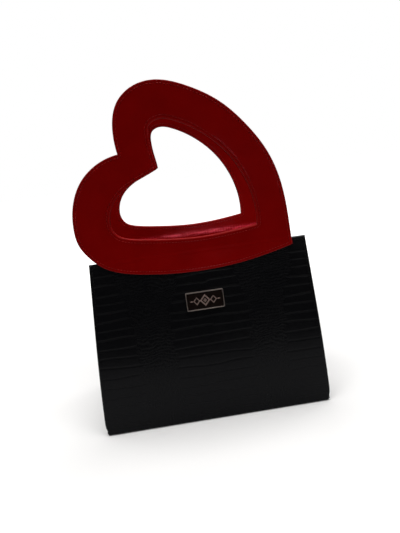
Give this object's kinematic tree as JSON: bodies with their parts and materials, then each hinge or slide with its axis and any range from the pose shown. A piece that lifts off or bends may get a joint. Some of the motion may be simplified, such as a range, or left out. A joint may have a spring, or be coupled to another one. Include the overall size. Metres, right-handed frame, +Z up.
{
  "type": "handbag",
  "caption": "Open topped flared handbag in embossed leather, with upright heart-shaped handles front and back, each with a hand hole, on walls that fold together.",
  "frame": {"origin": "middle of the base, on the surface the bag stands on", "axes": "+X to the right seen from the front, +Y from the front (plate side) to the back, +Z up"},
  "size_m": [0.248, 0.118, 0.3471],
  "materials": {
    "black_embossed_leather": "crocodile embossed, semi gloss",
    "red_leather": "smooth, semi gloss",
    "lining_cloth": "plain twill",
    "stiff_board": "pressed fibre board",
    "plate_metal": "polished",
    "plate_enamel": "dark enamel",
    "washer_steel": "plain"
  },
  "bodies": {
    "base": {"base_panel": "black_embossed_leather", "base_board": "stiff_board", "base_lining": "lining_cloth", "left_gusset": "black_embossed_leather", "right_gusset": "black_embossed_leather", "left_gusset_lining": "lining_cloth", "right_gusset_lining": "lining_cloth"},
    "front_wall": {"front_panel": "black_embossed_leather", "front_board": "stiff_board", "front_lining": "lining_cloth", "front_apron": "red_leather", "front_inner_apron": "red_leather", "badge_frame": "plate_metal", "badge_inlay": "plate_enamel", "badge_washer": "washer_steel"},
    "front_heart": {"front_heart_core": "stiff_board", "front_heart_outer_face": "red_leather", "front_heart_inner_face": "red_leather"},
    "back_wall": {"back_panel": "black_embossed_leather", "back_board": "stiff_board", "back_lining": "lining_cloth", "back_apron": "red_leather", "back_inner_apron": "red_leather"},
    "back_heart": {"back_heart_core": "stiff_board", "back_heart_outer_face": "red_leather", "back_heart_inner_face": "red_leather"}
  },
  "joints": [
    {"name": "front_wall_fold", "type": "hinge", "parent": "base", "child": "front_wall", "pos_m": [0, -0.0575, 0.0018], "axis": [-1, 0, 0], "range_deg": [-4, 12.5], "stiffness_Nm_per_rad": 6, "springref_deg": -0.17, "deforming": ["left_gusset", "right_gusset", "left_gusset_lining", "right_gusset_lining"]},
    {"name": "front_heart_crease", "type": "hinge", "parent": "front_wall", "child": "front_heart", "pos_m": [0, -0.0434, 0.1875], "axis": [-1, 0, 0], "range_deg": [-12.5, 4]},
    {"name": "back_wall_fold", "type": "hinge", "parent": "base", "child": "back_wall", "pos_m": [0, 0.0575, 0.0018], "axis": [1, 0, 0], "range_deg": [-4, 12.5], "stiffness_Nm_per_rad": 6, "springref_deg": -0.17, "deforming": ["left_gusset", "right_gusset", "left_gusset_lining", "right_gusset_lining"]},
    {"name": "back_heart_crease", "type": "hinge", "parent": "back_wall", "child": "back_heart", "pos_m": [0, 0.0434, 0.1875], "axis": [1, 0, 0], "range_deg": [-12.5, 4]}
  ],
  "couplings": [
    {"joint": "front_heart_crease", "follows": "front_wall_fold", "ratio": -1},
    {"joint": "back_heart_crease", "follows": "back_wall_fold", "ratio": -1}
  ]
}
